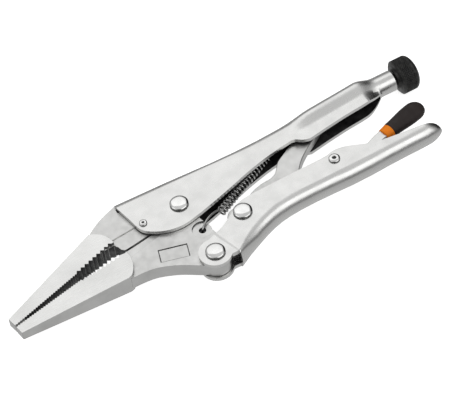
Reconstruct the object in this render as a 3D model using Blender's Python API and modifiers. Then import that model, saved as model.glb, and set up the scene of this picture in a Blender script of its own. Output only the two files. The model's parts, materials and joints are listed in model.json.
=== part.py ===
"""Long-nose locking pliers, modelled lying on their side as an assembly of separate pieces.

Sizes are in millimetres and become metres as each mesh is made.  The design frame has its origin on the
main pivot, in the mid-plane: +X runs to the rear along the adjusting screw, +Y to the upper handle's
spine, +Z up.  At the end everything stands on Z = 0, centred on X and Y.
"""
import bpy
import bmesh
import math
from mathutils import Matrix, Vector

MM = 0.001

# Pivots and axes, seen from above
MAIN_PIVOT = (0.0, 0.0)
JAW_PIVOT = (0.4, -32.9)
LINK_PIVOT = (21.5, -20.0)
LEVER_PIVOT = (71.0, -16.5)
TACK = (-18.7, -0.8)
SPRING_HOLE = (2.3, -17.0)
SCREW_Y = 14.1
NOSE_OF_LINK_X = 84.0

# Overall lengths, from the main pivot unless named otherwise
THROAT_X = 35.7
NOSE_LENGTH = 55.4
TUBE_END = 120.0
LOWER_END = 123.0

# Sheet channels and the jaws between their cheeks
SHEET = 1.8
JAW_HALF = 3.5
STRIP_DROP = 0.5
SIDE_GAP = 0.3
CHEEK_IN = JAW_HALF + SIDE_GAP
CHEEK_OUT = CHEEK_IN + SHEET
JOGGLE = 0.35
SPINE_RISE = 4.8
BULGE = 1.9
FACE_GAP = 0.3
RUN_GAP = 0.2

# Jaws
LUG_RADIUS = 9.0
JAW_LUG_RADIUS = 6.5
EAR_RADIUS = 7.6
JAW_GAP = 1.1
NOSE_ROOT_HALF = 5.1
NOSE_TIP_HALF = 2.4
TIP_Y = -18.0
TIP_RISE = 5.2
TIP_DROP = 4.8
FINE_TEETH = 28
FINE_DEPTH = 0.55
COARSE_TEETH = 9
COARSE_DEPTH = 1.3
BOSS_RADIUS = 4.7
BOSS_DROP = 0.8
SPRING_HOLE_RADIUS = 1.65
PANEL = (13.3, 7.2)
PANEL_DEPTH = 0.35
PANEL_CENTRE = (-14.6, -21.7)
PANEL_TURN = math.radians(-16.5)

# Rivets: shank radius, head radius, head height
MAIN_RIVET = (2.9, 4.25, 1.35)
JAW_RIVET = (2.9, 4.45, 1.35)
LINK_RIVET = (2.4, 4.35, 1.35)
LEVER_RIVET = (1.6, 2.6, 0.8)
TACK_RIVET = (1.2, 1.8, 0.6)
HEAD_EDGE = 0.35

# Adjusting screw, knob and tube
SCREW_RADIUS = 2.9
THREAD_PITCH = 1.25
THREAD_DEPTH = 0.6
TIP_RADIUS = 2.2
TIP_LENGTH = 4.0
BORE_GAP = 0.3
TUBE_RADIUS = 5.1
NECK_LENGTH = 11.0
TUBE_LENGTH = 8.0
KNOB_STANDOFF = 1.2
KNOB_LENGTH = 11.6
KNOB_RADIUS = 8.45
KNOB_BORE_DEPTH = 8.6

# Toggle link and its washers
LINK_HALF = 2.4
LINK_EYE_RADIUS = 7.2
LINK_NOSE_RADIUS = 2.2
SLOT_LENGTH = 3.2
SLOT_SIDE = 0.45
WASHER_RADIUS = 4.6

# Release lever and its dipped grip
LEVER_HALF = 1.6
LEVER_EYE_RADIUS = 3.9
TANG_HALF_HEIGHT = 2.3
BAND_START = 28.2
BAND_LENGTH = 3.8
GRIP_LENGTH = 21.1
GRIP_HALF_HEIGHT = 5.0
GRIP_HALF_THICK = 3.2
GRIP_ROUNDING = 5.0

# Return spring
WIRE_RADIUS = 0.45
COIL_RADIUS = 2.15
COIL_TURNS = 19
COIL_START = (14.9, -10.2)
COIL_END = (48.6, 6.9)
ANCHOR = (55.5, 10.4)
ANCHOR_HALF = 0.8
ANCHOR_RADIUS = 2.4
ANCHOR_HOLE_RADIUS = 1.2

ROUND_STEPS = 20
ARC_STEPS = 10


# ---------------------------------------------------------------- plane geometry

def arc(centre, radius, start, end, steps=ARC_STEPS):
    """Points on an arc, with the angles in degrees."""
    points = []
    for step in range(steps + 1):
        angle = math.radians(start + (end - start) * step / steps)
        points.append((centre[0] + radius * math.cos(angle), centre[1] + radius * math.sin(angle)))
    return points


def smooth(points, steps=4):
    """A smooth run (Catmull-Rom) through the points, ends included."""
    padded = [points[0]] + list(points) + [points[-1]]
    run = []
    for index in range(1, len(padded) - 2):
        before, start, end, after = padded[index - 1:index + 3]
        for step in range(steps):
            t = step / steps
            run.append(tuple(
                0.5 * (2 * b + (c - a) * t + (2 * a - 5 * b + 4 * c - d) * t ** 2
                       + (3 * b - a - 3 * c + d) * t ** 3)
                for a, b, c, d in zip(before, start, end, after)))
    run.append(tuple(points[-1]))
    return run


def shifted(points, dx, dy):
    return [(x + dx, y + dy) for x, y in points]


def ramp(value, start, end):
    """0 before start, 1 after end, and an even S between."""
    t = min(max((value - start) / (end - start), 0.0), 1.0)
    return t * t * (3 - 2 * t)


def height_at(points, x):
    """The height of a smooth run at x; the run goes to +X."""
    run = smooth(points, 6)
    for (x0, y0), (x1, y1) in zip(run, run[1:]):
        if x <= x1:
            return y0 + (y1 - y0) * max(x - x0, 0.0) / (x1 - x0)
    return run[-1][1]


def along(start, end, distance, side=0.0):
    """The point at a distance from start towards end, and then to the left."""
    length = math.dist(start, end)
    ux = (end[0] - start[0]) / length
    uy = (end[1] - start[1]) / length
    return (start[0] + ux * distance - uy * side, start[1] + uy * distance + ux * side)


# ---------------------------------------------------------------- scene and solids

for old in list(bpy.data.objects):
    bpy.data.objects.remove(old)

parts = bpy.data.collections.new("locking_pliers")
cutters = bpy.data.collections.new("cutters")
bpy.context.scene.collection.children.link(parts)
bpy.context.scene.collection.children.link(cutters)


def pivot(name, place, parent=None):
    """An empty on a joint's axis; place is in the design frame."""
    empty = bpy.data.objects.new(name, None)
    parts.objects.link(empty)
    empty["place"] = [place[0], place[1]]
    empty.parent = parent
    origin = parent["place"] if parent else (0.0, 0.0)
    empty.location = Vector((place[0] - origin[0], place[1] - origin[1], 0.0)) * MM
    return empty


frame = pivot("pliers_frame", MAIN_PIVOT)
jaw_axis = pivot("jaw_axis", MAIN_PIVOT, frame)
handle_axis = pivot("handle_axis", JAW_PIVOT, jaw_axis)
lever_axis = pivot("lever_axis", LEVER_PIVOT, handle_axis)
link_axis = pivot("link_axis", (NOSE_OF_LINK_X, SCREW_Y), frame)
screw_axis = pivot("screw_axis", (TUBE_END, SCREW_Y), frame)


def material(name, color, roughness, metallic):
    made = bpy.data.materials.new(name)
    made.use_nodes = True
    shader = made.node_tree.nodes["Principled BSDF"]
    shader.inputs["Base Color"].default_value = (*color, 1.0)
    shader.inputs["Roughness"].default_value = roughness
    shader.inputs["Metallic"].default_value = metallic
    made.diffuse_color = (*color, 1.0)
    return made


nickel = material("satin_nickel", (0.74, 0.74, 0.73), 0.34, 0.95)
ground = material("ground_steel", (0.78, 0.78, 0.77), 0.26, 1.0)
polished = material("polished_steel", (0.82, 0.82, 0.82), 0.10, 1.0)
spring_steel = material("spring_steel", (0.62, 0.62, 0.62), 0.22, 1.0)
blackened = material("blackened_steel", (0.025, 0.025, 0.025), 0.45, 0.6)
vinyl = material("dark_vinyl", (0.035, 0.027, 0.024), 0.55, 0.0)
orange = material("orange_vinyl", (0.95, 0.21, 0.01), 0.5, 0.0)


def add(name, mesh, axis, finish=None):
    """A named object on its axis; finish is None for a cutter."""
    piece = bpy.data.objects.new(name, mesh)
    piece.parent = axis
    if finish:
        parts.objects.link(piece)
        mesh.materials.clear()
        mesh.materials.append(finish)
    else:
        cutters.objects.link(piece)
        piece.hide_render = True
        piece.display_type = "WIRE"
    return piece


def set_origin(mesh, axis):
    """Move a mesh made in the design frame to its axis's own frame."""
    x, y = axis["place"]
    for vertex in mesh.vertices:
        vertex.co -= Vector((x, y, 0.0)) * MM


def plate(name, outline, low, high, axis, finish=None):
    """A flat outline, solid between two heights."""
    curve = bpy.data.curves.new(name, "CURVE")
    curve.dimensions = "2D"
    curve.fill_mode = "BOTH"
    curve.extrude = (high - low) / 2 * MM
    curve.resolution_u = 1
    curve.render_resolution_u = 0
    spline = curve.splines.new("POLY")
    spline.points.add(len(outline) - 1)
    spline.use_cyclic_u = True
    for point, (x, y) in zip(spline.points, outline):
        point.co = (x * MM, y * MM, 0.0, 1.0)
    draft = bpy.data.objects.new(name, curve)
    bpy.context.scene.collection.objects.link(draft)
    mesh = bpy.data.meshes.new_from_object(draft.evaluated_get(bpy.context.evaluated_depsgraph_get()))
    bpy.data.objects.remove(draft)
    edit = bmesh.new()
    edit.from_mesh(mesh)
    bmesh.ops.remove_doubles(edit, verts=edit.verts, dist=0.001 * MM)
    bmesh.ops.recalc_face_normals(edit, faces=edit.faces)
    bmesh.ops.translate(edit, verts=edit.verts, vec=(0.0, 0.0, (low + high) / 2 * MM))
    edit.to_mesh(mesh)
    edit.free()
    set_origin(mesh, axis)
    return add(name, mesh, axis, finish)


def loft(name, rings, axis, finish=None):
    """A solid through closed rings of equal length, capped at both ends."""
    edit = bmesh.new()
    rows = [[edit.verts.new(Vector(point) * MM) for point in ring] for ring in rings]
    count = len(rows[0])
    for row, following in zip(rows, rows[1:]):
        for index in range(count):
            after = (index + 1) % count
            edit.faces.new((row[index], row[after], following[after], following[index]))
    edit.faces.new(rows[0])
    edit.faces.new(rows[-1])
    bmesh.ops.recalc_face_normals(edit, faces=edit.faces)
    mesh = bpy.data.meshes.new(name)
    edit.to_mesh(mesh)
    edit.free()
    set_origin(mesh, axis)
    return add(name, mesh, axis, finish)


def turned(name, profile, axis, finish=None, place=(0.0, 0.0, 0.0), steps=ROUND_STEPS):
    """A turned solid about Z, from a profile of (radius, height) that runs from top to bottom."""
    mesh = bpy.data.meshes.new(name)
    corners = [(radius * MM, 0.0, height * MM) for radius, height in profile]
    mesh.from_pydata(corners, [(i, i + 1) for i in range(len(corners) - 1)], [])
    piece = add(name, mesh, axis, finish)
    piece.location = Vector(place) * MM
    screw = piece.modifiers.new("turn", "SCREW")
    screw.axis = "Z"
    screw.angle = math.tau
    screw.steps = steps
    screw.render_steps = steps
    screw.use_merge_vertices = True
    screw.merge_threshold = 0.001 * MM
    screw.use_smooth_shade = True
    return piece


def lay_along_x(piece):
    """Turn a piece made about Z so that its top end points to +X."""
    piece.rotation_euler = (0.0, math.pi / 2, 0.0)
    return piece


def drill(name, place, radius, reach, axis):
    """A round cutter along Z."""
    mesh = bpy.data.meshes.new(name)
    edit = bmesh.new()
    bmesh.ops.create_cone(edit, cap_ends=True, segments=ROUND_STEPS, radius1=radius * MM,
                          radius2=radius * MM, depth=2 * reach * MM)
    bmesh.ops.translate(edit, verts=edit.verts, vec=Vector((place[0], place[1], 0.0)) * MM)
    edit.to_mesh(mesh)
    edit.free()
    set_origin(mesh, axis)
    return add(name, mesh, axis)


def combine(piece, other, operation):
    step = piece.modifiers.new(operation.lower(), "BOOLEAN")
    step.operation = operation
    step.solver = "EXACT"
    step.object = other


# ---------------------------------------------------------------- upper handle

THROUGH = CHEEK_OUT + BULGE + 8.0
BELOW_CHEEKS = -22.0
FRONT_EDGE = -24.6
BULGE_START = 61.0
BULGE_END = 76.0
CROWN_STEPS = 10
NECK_END = TUBE_END - TUBE_LENGTH
NECK_START = NECK_END - NECK_LENGTH
SCREW_FRONT = NOSE_OF_LINK_X + LINK_NOSE_RADIUS + TIP_LENGTH + 1.8
BORE_RADIUS = SCREW_RADIUS + BORE_GAP
NOSE_ROOM = SCREW_Y + LINK_NOSE_RADIUS + SHEET + 0.5
SCREW_ROOM = SCREW_Y + SCREW_RADIUS + SHEET + 0.4
SPINE_TOP = [(-27.0, 18.2), (0.0, 17.2), (24.0, 15.9), (45.0, 15.6), (62.0, 16.5), (76.0, 17.9),
             (NOSE_OF_LINK_X, NOSE_ROOM), (SCREW_FRONT, SCREW_ROOM),
             (NECK_START + 4.0, SCREW_ROOM + 1.2), (NECK_END, SCREW_ROOM + 0.6)]
BULGE_LINE = [(60.0, 4.0), (72.0, 6.2), (NECK_START - 6.0, 8.0), (NECK_END, 9.5)]


def handle_ring(x, wall, tube_radius, low):
    """The handle's section at x: a round-backed channel that closes to a tube; wall is taken off it."""
    half = CHEEK_OUT - wall
    swell = BULGE * ramp(x, BULGE_START, BULGE_END)
    top = height_at(SPINE_TOP, x)
    rise = SPINE_RISE - wall
    centre = top - SPINE_RISE
    line = min(height_at(BULGE_LINE, x), centre - 2.0)
    channel = []
    for step in range(CROWN_STEPS + 1):
        angle = math.pi * step / CROWN_STEPS
        channel.append(((half + swell) * math.cos(angle), centre + rise * math.sin(angle)))
    for share in (0.34, 0.67, 1.0):
        spread = half + swell * (1 - ramp(share, 0.0, 1.0))
        channel.append((-spread, centre + (line - centre) * share))
    channel.append((-half, low))
    channel.append((half, low))
    for share in (1.0, 0.67, 0.34):
        spread = half + swell * (1 - ramp(share, 0.0, 1.0))
        channel.append((spread, centre + (line - centre) * share))
    tube = []
    below = len(channel) - CROWN_STEPS
    for step in range(len(channel)):
        if step <= CROWN_STEPS:
            angle = math.pi * step / CROWN_STEPS
        else:
            angle = math.pi * (1 + (step - CROWN_STEPS) / below)
        tube.append((tube_radius * math.cos(angle), SCREW_Y + tube_radius * math.sin(angle)))
    blend = ramp(x, NECK_START, NECK_END)
    return [(x, y0 + (y1 - y0) * blend, z0 + (z1 - z0) * blend)
            for (z0, y0), (z1, y1) in zip(channel, tube)]


def handle_stations(front, rear):
    """Even steps along the channel, close ones through the bulge and the neck."""
    even = [front, -12.0, 0.0, 12.0, 24.0, 36.0, 48.0, 57.0]
    swelling = [BULGE_START, 64.0, 67.0, 70.0, 73.0, BULGE_END, 80.0, NOSE_OF_LINK_X, 88.0, SCREW_FRONT + 4.0]
    steps = 10
    neck = [NECK_START + NECK_LENGTH * step / steps for step in range(steps + 1)]
    return even + [x for x in swelling if x < NECK_START - 5.5] + [NECK_START - 5.0] + neck + [rear]


def upper_handle_outline():
    """The handle from above: square front corner, round belly over the pivot, notch, and long slot edge."""
    belly = smooth([(FRONT_EDGE, 13.0), (-22.9, 4.5), (-21.4, -3.0), (-17.6, -7.2), (-11.3, -10.5),
                    (-4.0, -11.6), (4.0, -10.2), (14.4, -7.4), (25.6, -4.0), (36.4, -0.6), (48.4, 2.3),
                    (60.6, 4.1)])
    notch = smooth([(62.6, 3.6), (65.2, 1.5), (68.4, 0.4)])
    slot = smooth([(77.0, 1.8), (88.6, 3.4), (NECK_START - 1.0, 4.5), (NECK_START + 5.0, 5.9),
                   (NECK_END - 1.0, SCREW_Y - TUBE_RADIUS - 0.6)])
    clear = 40.0
    under_tube = SCREW_Y - TUBE_RADIUS - 2.0
    past_tube = TUBE_END + 3.0
    return (belly + notch + slot + [(NECK_END + 1.0, under_tube), (past_tube, under_tube),
                                    (past_tube, clear), (FRONT_EDGE, clear)])


upper = loft("upper_handle", [handle_ring(x, 0.0, TUBE_RADIUS, BELOW_CHEEKS)
                              for x in handle_stations(-26.0, TUBE_END)], frame, nickel)
combine(upper, plate("upper_outline", upper_handle_outline(), -THROUGH, THROUGH, frame), "INTERSECT")
combine(upper, loft("upper_hollow", [handle_ring(x, SHEET, BORE_RADIUS, BELOW_CHEEKS - 5.0)
                                     for x in handle_stations(-28.0, TUBE_END + 2.0)], frame), "DIFFERENCE")
combine(upper, drill("main_rivet_hole", MAIN_PIVOT, MAIN_RIVET[0] + RUN_GAP, THROUGH, frame), "DIFFERENCE")
combine(upper, drill("tack_hole", TACK, TACK_RIVET[0] + RUN_GAP, THROUGH, frame), "DIFFERENCE")

# The lug inside the spine that holds the spring's rear hook
anchor_top = height_at(SPINE_TOP, ANCHOR[0]) - SHEET / 2
anchor_outline = ([(ANCHOR[0] - ANCHOR_RADIUS - 1.2, anchor_top)] + arc(ANCHOR, ANCHOR_RADIUS, 180, 360)
                  + [(ANCHOR[0] + ANCHOR_RADIUS + 1.2, anchor_top)])
combine(upper, plate("anchor_lug", anchor_outline, -ANCHOR_HALF, ANCHOR_HALF, frame), "UNION")
combine(upper, drill("anchor_hole", ANCHOR, ANCHOR_HOLE_RADIUS, ANCHOR_HALF * 2, frame), "DIFFERENCE")


# ---------------------------------------------------------------- jaws

TIP_X = THROAT_X + NOSE_LENGTH
FINE_END_X = THROAT_X + 20.6
MATING_LINE = [(-32.0, -8.4), (-27.0, -7.85), (-22.5, -7.15), (-17.8, -6.3), (-12.5, -4.7)]


def teeth(start, end, count, depth):
    """A toothed edge from start to end, with the tooth tips on the line and the roots to its left."""
    length = math.dist(start, end)
    pitch = length / count
    points = []
    for tooth in range(count):
        points.append(along(start, end, (tooth + 0.05) * pitch))
        points.append(along(start, end, (tooth + 0.55) * pitch, depth))
    points.append(end)
    return points


def side_face_wedge():
    """The space between the nose's ground side faces, which taper to the tip."""
    profile = [(-TIP_X - 4.0, NOSE_TIP_HALF - 0.2), (-THROAT_X, NOSE_ROOT_HALF), (0.0, NOSE_ROOT_HALF + 1.7)]
    profile += [(x, -z) for x, z in reversed(profile)]
    solid = plate("nose_side_faces", profile, -60.0, 60.0, frame)
    solid.data.transform(Matrix.Rotation(math.pi / 2, 4, "X"))
    return solid


side_faces = side_face_wedge()

# Fixed jaw: nose, neck and the tang between the handle's cheeks
fixed_root = (-THROAT_X, -2.8)
fixed_mid = (-FINE_END_X, -8.7)
fixed_tip = (-TIP_X, TIP_Y + 0.15)
fixed_nose = ([(-TIP_X - 1.1, TIP_Y + TIP_RISE), fixed_tip]
              + teeth(fixed_tip, fixed_mid, FINE_TEETH, FINE_DEPTH)[1:]
              + teeth(fixed_mid, fixed_root, COARSE_TEETH, COARSE_DEPTH)[1:]
              + arc((-45.5, -2.6), 10.9, 0, 72))
fixed_top = smooth([(-41.9, 8.2), (-36.2, 12.0), (-30.5, 14.7), (FRONT_EDGE - 0.4, 16.6)])
tang_top = height_at(SPINE_TOP, FRONT_EDGE) - SPINE_RISE - 0.9
seat = LUG_RADIUS + 0.35
fixed_neck = ([(-46.0, -3.6), (-46.0, 4.6)] + fixed_top
              + [(FRONT_EDGE - 0.4, tang_top), (1.0, tang_top - 0.5)]
              + arc(MAIN_PIVOT, seat, 84, 198) + shifted(MATING_LINE[::-1], 0, JAW_GAP / 2)
              + [(-33.2, -6.6), (-33.8, -4.4), (-35.0, -3.2)])

fixed_strip = [(-THROAT_X + 1.3, -12.0), (-THROAT_X + 1.3, -0.1), (-23.0, 0.9), (-14.0, 2.0),
               (-11.2, -1.0), (-11.2, -12.0)]

fixed = plate("fixed_jaw", fixed_nose, -9.0, 9.0, frame, ground)
combine(fixed, side_faces, "INTERSECT")
combine(fixed, plate("fixed_neck", fixed_neck, -JAW_HALF, JAW_HALF, frame), "UNION")
for side in (1, -1):
    low, high = sorted((side * (JAW_HALF - STRIP_DROP), side * (JAW_HALF + 0.7)))
    combine(fixed, plate("fixed_strip", fixed_strip, low, high, frame), "DIFFERENCE")
combine(fixed, drill("fixed_tack_hole", TACK, TACK_RIVET[0] + RUN_GAP, THROUGH, frame), "DIFFERENCE")

# Moving jaw: nose, curved neck, pivot lug and the lug for the lower handle
moving_root = (-THROAT_X, -10.6)
moving_mid = (-FINE_END_X, -12.25)
moving_tip = (-TIP_X, TIP_Y - 0.15)
moving_edge = (teeth(moving_root, moving_mid, COARSE_TEETH, COARSE_DEPTH)
               + teeth(moving_mid, moving_tip, FINE_TEETH, FINE_DEPTH)[1:])
moving_nose = (moving_edge + [(-TIP_X + 0.7, TIP_Y - TIP_DROP)] + [(-38.0, -24.0)]
               + arc((-46.5, -13.3), 14.4, -44, 9))
underside = smooth([(-36.6, -23.9), (-30.0, -24.1), (-24.0, -25.3), (-16.0, -29.0), (-8.9, -33.9)])
moving_body = ([(-44.0, -13.4), (-44.0, -21.0)] + underside
               + arc(JAW_PIVOT, JAW_LUG_RADIUS, 212, 378, 16)
               + [(7.0, -24.0)] + arc(SPRING_HOLE, BOSS_RADIUS - 0.4, -30, 48, 6) + [(4.5, -11.0)]
               + arc(MAIN_PIVOT, LUG_RADIUS, -62, 200, 24)
               + shifted(MATING_LINE[::-1], 0, -JAW_GAP / 2) + [(-33.5, -10.2)])

moving = plate("moving_jaw", moving_nose, -9.0, 9.0, jaw_axis, ground)
combine(moving, side_faces, "INTERSECT")
combine(moving, plate("moving_body", moving_body, -JAW_HALF, JAW_HALF, jaw_axis), "UNION")
moving_strip = [(-THROAT_X + 3.8, -4.0), (-THROAT_X + 3.8, -13.4), (-26.5, -12.1), (-20.8, -10.8),
                (-15.5, -9.4), (-12.0, -8.2), (-11.2, -3.0)]
for side in (1, -1):
    low, high = sorted((side * (JAW_HALF - STRIP_DROP), side * (JAW_HALF + 0.7)))
    combine(moving, plate("moving_strip", moving_strip, low, high, jaw_axis), "DIFFERENCE")
    low, high = sorted((side * (JAW_HALF - BOSS_DROP), side * (JAW_HALF + 0.7)))
    combine(moving, plate("spring_boss", arc(SPRING_HOLE, BOSS_RADIUS, 0, 345, 23), low, high, jaw_axis),
            "DIFFERENCE")
combine(moving, drill("spring_hole", SPRING_HOLE, SPRING_HOLE_RADIUS, THROUGH, jaw_axis), "DIFFERENCE")
combine(moving, drill("jaw_main_bore", MAIN_PIVOT, MAIN_RIVET[0] + RUN_GAP, THROUGH, jaw_axis), "DIFFERENCE")
combine(moving, drill("jaw_handle_bore", JAW_PIVOT, JAW_RIVET[0] + RUN_GAP, THROUGH, jaw_axis), "DIFFERENCE")

# A shallow plain panel stamped in the near side of the neck
panel = plate("stamped_panel", [(-PANEL[0] / 2, -PANEL[1] / 2), (PANEL[0] / 2, -PANEL[1] / 2),
                                (PANEL[0] / 2, PANEL[1] / 2), (-PANEL[0] / 2, PANEL[1] / 2)],
              JAW_HALF - PANEL_DEPTH, JAW_HALF + 0.7, jaw_axis)
panel.location = Vector((*PANEL_CENTRE, 0.0)) * MM
panel.rotation_euler.z = PANEL_TURN
combine(moving, panel, "DIFFERENCE")


# ---------------------------------------------------------------- lower handle

SPINE_FRONT = 9.6
BACK_FROM = 6.5
END_ROUND = 9.0
BACK_STEPS = 12
FRONT_RISE = 2.5
CREASE_LEAN = 0.29
CREASE_FOOT = -38.4
LOWER_SPINE = [(SPINE_FRONT, -40.2), (12.5, -38.8), (16.0, -37.3), (21.0, -35.3), (26.5, -32.7),
               (33.0, -30.1), (40.0, -28.6), (50.0, -27.9), (62.0, -28.0), (74.0, -28.5), (86.0, -28.4),
               (98.0, -27.8), (LOWER_END, -27.6)]


def lower_ring(x, wall, high, end):
    """The lower handle's round-backed section at x, drawn in to a boat-shaped end.

    Towards the front the sections lean, so that the step outside the ears runs along one of them.
    """
    share = min(max((x - (end - END_ROUND)) / END_ROUND, 0.0), 1.0)
    round_off = math.sqrt(max(1 - share ** 2, 0.0))
    joggle = JOGGLE * ramp(x, SPINE_FRONT - 1.0, SPINE_FRONT + 0.6)
    half = (CHEEK_OUT + joggle - wall) * max(round_off, 0.25)
    depth = FRONT_RISE + (CHEEK_OUT - FRONT_RISE) * ramp(x, SPINE_FRONT, SPINE_FRONT + 14.0)
    if x < BACK_FROM:
        centre = high - 60.0
        rise = depth - wall
    else:
        centre = height_at(LOWER_SPINE, x) + depth
        rise = (depth - wall) * (0.4 + 0.6 * round_off)
    ring = [(x, high, -half), (x, high, half)]
    for step in range(BACK_STEPS + 1):
        angle = math.pi * step / BACK_STEPS
        ring.append((x, centre - rise * math.sin(angle), half * math.cos(angle)))
    lean = CREASE_LEAN * (1 - ramp(x, SPINE_FRONT, SPINE_FRONT + 26.0))
    return [(x - lean * max(y - CREASE_FOOT, 0.0), y, z) for x, y, z in ring]


def lower_stations(front, end):
    """Steps along the lower handle, closing up towards its rounded end."""
    middle = [SPINE_FRONT + 0.6, 13.0, 16.0, 19.0, 22.0, 25.0, 28.0, 32.0, 36.0, 41.0, 47.0, 55.0, 64.0,
              74.0, 84.0, 94.0, 104.0]
    middle = [x for x in middle if x < end - END_ROUND - 2.0]
    steps = 7
    rounding = [end - END_ROUND * (1 - math.sin(math.pi / 2 * step / steps)) for step in range(steps + 1)]
    return [front, BACK_FROM - 0.5, BACK_FROM, SPINE_FRONT - 1.0, SPINE_FRONT] + middle + rounding


def lower_handle_outline():
    """The lower handle from above: ear, straight cheek, hump over the lever rivet, and low rear sides."""
    ear = arc(JAW_PIVOT, EAR_RADIUS, -42, -276, 20)
    crest = smooth([(4.7, -24.1), (9.3, -22.6), (15.6, -18.9), (19.4, -16.2), (23.6, -14.1), (28.0, -13.4)])
    straight = [(66.0, -13.0)]
    hump = smooth([(69.5, -12.7), (73.0, -11.9), (77.5, -12.4), (82.0, -14.1), (87.0, -16.5), (94.0, -18.9)])
    rear = smooth([(LOWER_END - 20.0, -20.2), (LOWER_END - 12.0, -21.0), (LOWER_END - 5.0, -22.0),
                   (LOWER_END - 1.5, -23.2), (LOWER_END, -25.4)])
    below = -52.0
    mouth = [(LOWER_END + 1.0, below), (SPINE_FRONT, below), (SPINE_FRONT, CREASE_FOOT + 0.4)]
    return ear + crest + straight + hump + rear + mouth


TOP_OF_STOCK = 4.0
lower = loft("lower_handle", [lower_ring(x, 0.0, TOP_OF_STOCK, LOWER_END)
                              for x in lower_stations(-10.0, LOWER_END)], handle_axis, nickel)
combine(lower, plate("lower_outline", lower_handle_outline(), -THROUGH, THROUGH, handle_axis), "INTERSECT")
combine(lower, loft("lower_hollow", [lower_ring(x, SHEET, TOP_OF_STOCK + 5.0, LOWER_END - SHEET)
                                     for x in lower_stations(-12.0, LOWER_END - SHEET)], handle_axis),
        "DIFFERENCE")
for name, place, rivet in (("jaw", JAW_PIVOT, JAW_RIVET), ("link", LINK_PIVOT, LINK_RIVET),
                           ("lever", LEVER_PIVOT, LEVER_RIVET)):
    combine(lower, drill(name + "_rivet_hole", place, rivet[0] + RUN_GAP, THROUGH, handle_axis), "DIFFERENCE")


# ---------------------------------------------------------------- toggle link

LINK_NOSE = (NOSE_OF_LINK_X, SCREW_Y)
link_outline = (arc(LINK_PIVOT, LINK_EYE_RADIUS, 118, 290, 16)
                + smooth([(33.0, -25.0), (44.0, -20.5), (52.5, -15.0), (56.3, -9.8), (60.2, -5.6),
                          (65.8, -1.3), (72.0, 2.6), (79.0, 7.4), (84.6, 11.6)])
                + arc(LINK_NOSE, LINK_NOSE_RADIUS, -40, 110, 8)
                + smooth([(78.6, 14.8), (72.0, 11.6), (62.0, 6.0), (54.0, 1.4), (50.2, -0.9),
                          (47.9, -3.6), (45.6, -6.2), (42.4, -7.6), (38.1, -7.9), (33.9, -8.9),
                          (28.9, -11.0), (23.8, -12.9)]))
link = plate("toggle_link", link_outline, -LINK_HALF, LINK_HALF, link_axis, nickel)
slot_radius = LINK_RIVET[0] + FACE_GAP + SLOT_SIDE
slot_start = along(LINK_PIVOT, LINK_NOSE, 0.0, -SLOT_SIDE + 0.03)
slot_end = along(LINK_PIVOT, LINK_NOSE, SLOT_LENGTH, -SLOT_SIDE + 0.03)
slot_angle = math.degrees(math.atan2(LINK_NOSE[1] - LINK_PIVOT[1], LINK_NOSE[0] - LINK_PIVOT[0]))
slot = arc(slot_start, slot_radius, slot_angle + 90, slot_angle + 270) + arc(
    slot_end, slot_radius, slot_angle - 90, slot_angle + 90)
combine(link, plate("link_slot", slot, -THROUGH, THROUGH, link_axis), "DIFFERENCE")


# ---------------------------------------------------------------- release lever and grip

BAND_FRONT = along(LEVER_PIVOT, (LOWER_END, -9.5), BAND_START)
GRIP_HEADING = (LOWER_END + 0.6, -6.6)
lever_top = smooth([(62.2, -14.6), (66.0, -13.3), (71.0, -12.7), (76.0, -13.5), (82.0, -14.8), (88.3, -14.2)])
tang_front = along(BAND_FRONT, GRIP_HEADING, -3.0, TANG_HALF_HEIGHT)
tang_end = BAND_LENGTH + GRIP_LENGTH * 0.55
tang = [tang_front, along(BAND_FRONT, GRIP_HEADING, tang_end, TANG_HALF_HEIGHT),
        along(BAND_FRONT, GRIP_HEADING, tang_end, -TANG_HALF_HEIGHT),
        along(BAND_FRONT, GRIP_HEADING, -3.0, -TANG_HALF_HEIGHT)]
lever_under = smooth([(92.0, -18.6), (85.0, -20.1), (77.0, -20.8), (70.0, -20.6), (64.5, -18.6),
                      (61.6, -16.6)])
lever = plate("release_lever", lever_top + tang + lever_under, -LEVER_HALF, LEVER_HALF, lever_axis, polished)
combine(lever, drill("lever_bore", LEVER_PIVOT, LEVER_RIVET[0] + RUN_GAP, THROUGH, lever_axis), "DIFFERENCE")


def grip_ring(distance, half_height, half_thick):
    """An oval section across the grip, at a distance along it from the front of the coloured band."""
    ring = []
    steps = 20
    for step in range(steps):
        angle = math.tau * step / steps
        x, y = along(BAND_FRONT, GRIP_HEADING, distance, half_height * math.cos(angle))
        ring.append((x, y, half_thick * math.sin(angle)))
    return ring


def dipped(name, sections, finish):
    """A dipped piece with a pocket for the lever's tang."""
    piece = loft(name, [grip_ring(*section) for section in sections], lever_axis, finish)
    half_height = TANG_HALF_HEIGHT + FACE_GAP
    half_thick = LEVER_HALF + FACE_GAP
    corners = ((-4.0, half_height), (tang_end + FACE_GAP, half_height),
               (tang_end + FACE_GAP, -half_height), (-4.0, -half_height))
    room = [along(BAND_FRONT, GRIP_HEADING, distance, side) for distance, side in corners]
    combine(piece, plate(name + "_pocket", room, -half_thick, half_thick, lever_axis), "DIFFERENCE")


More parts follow.
